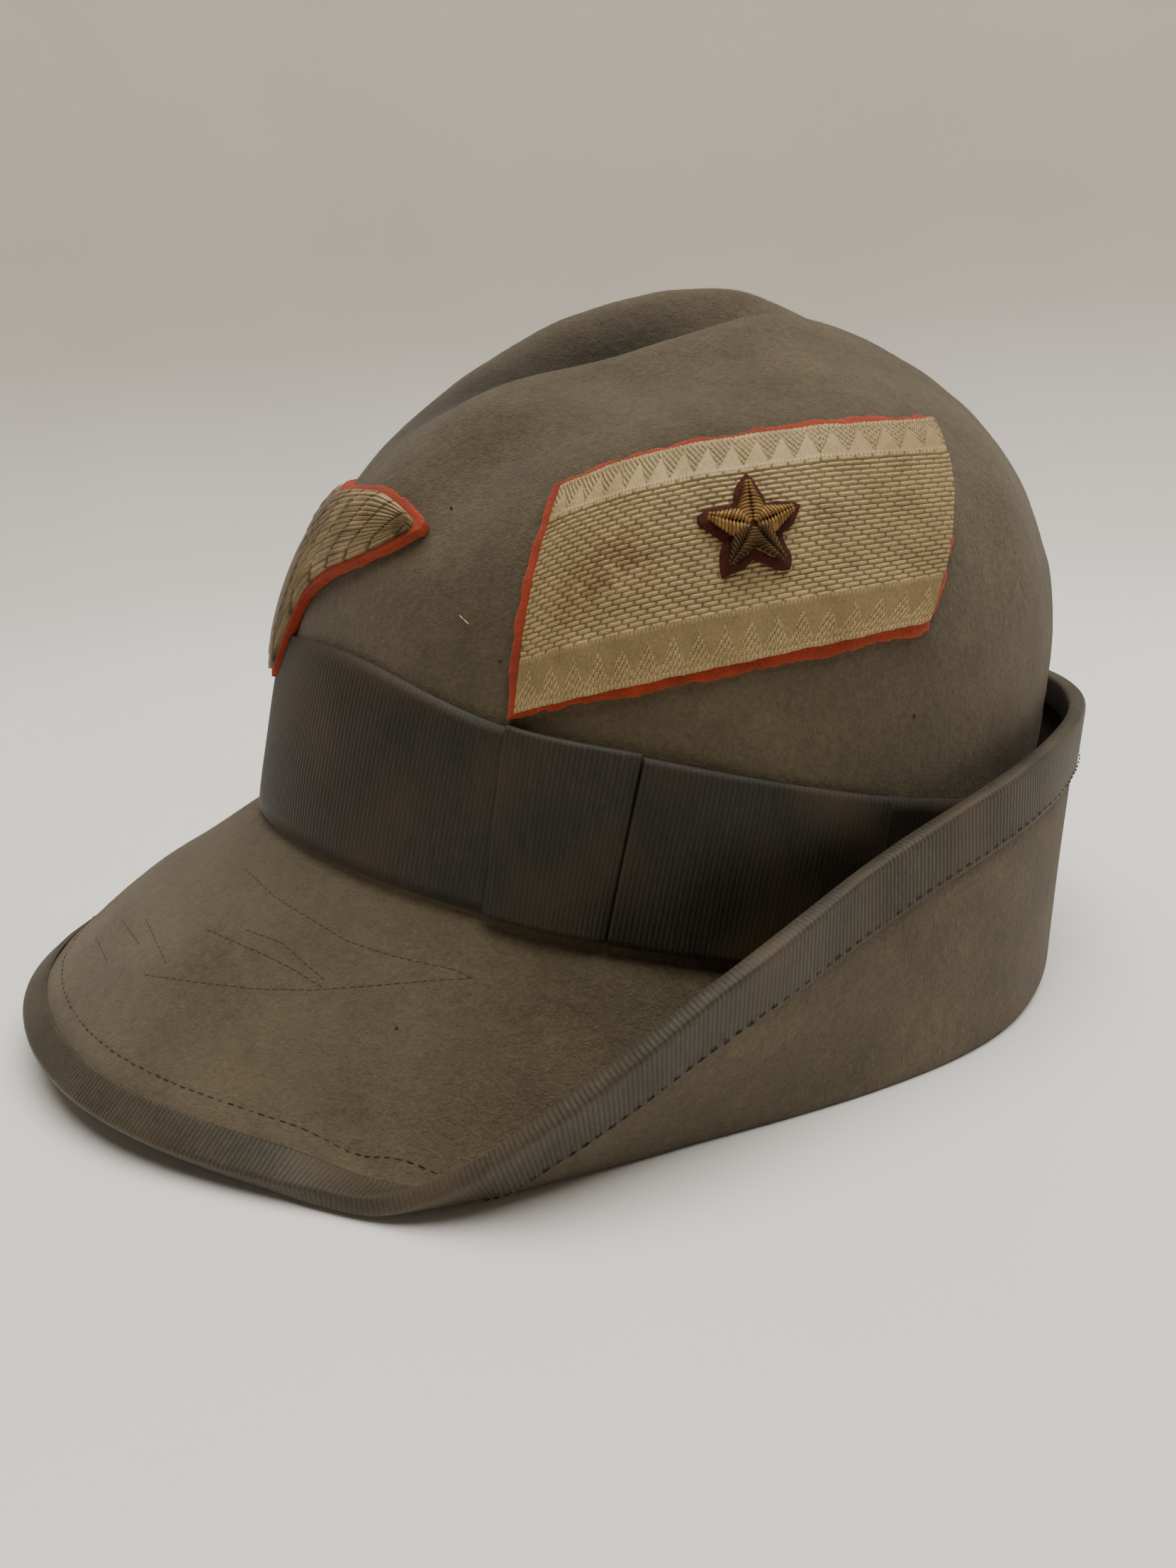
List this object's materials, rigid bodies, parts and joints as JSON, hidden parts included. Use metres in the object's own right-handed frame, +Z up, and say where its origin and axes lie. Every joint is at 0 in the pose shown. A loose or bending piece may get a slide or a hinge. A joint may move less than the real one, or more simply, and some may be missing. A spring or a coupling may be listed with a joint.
{
  "type": "alpine hat",
  "caption": "Stiff felt hat with a visor, turned-up bound brim, ribbon band and sewn trim; worn on the head, rests on its folded brim.",
  "frame": {"origin": "on the floor under the middle of the hat's length and width", "axes": "+Z up, the visor points along -Y, +X is the wearer's left"},
  "size_m": [0.2368, 0.2842, 0.1728],
  "materials": {
    "felt": "brushed wool felt, grey-green, worn and mottled",
    "ribbon": "dark grey-green grosgrain ribbon with a soft sheen",
    "binding": "grey-green grosgrain ribbon, slightly lighter and worn",
    "red_felt": "orange-red felt",
    "lace": "woven cream and silver metal-thread lace",
    "dark_red_felt": "dark red felt",
    "bronze_bullion": "tarnished gold bullion thread, slightly shiny",
    "silver_bullion": "tarnished silver bullion thread, slightly shiny"
  },
  "bodies": {
    "root": {"felt_body": "felt", "hat_band": "ribbon", "band_knot": "ribbon", "band_tail": "ribbon", "brim_binding": "binding", "patch_felt": "red_felt", "patch_lace": "lace", "star_felt": "dark_red_felt", "star_bullion": "bronze_bullion", "badge_felt": "red_felt", "badge_wings": "silver_bullion"}
  },
  "joints": []
}
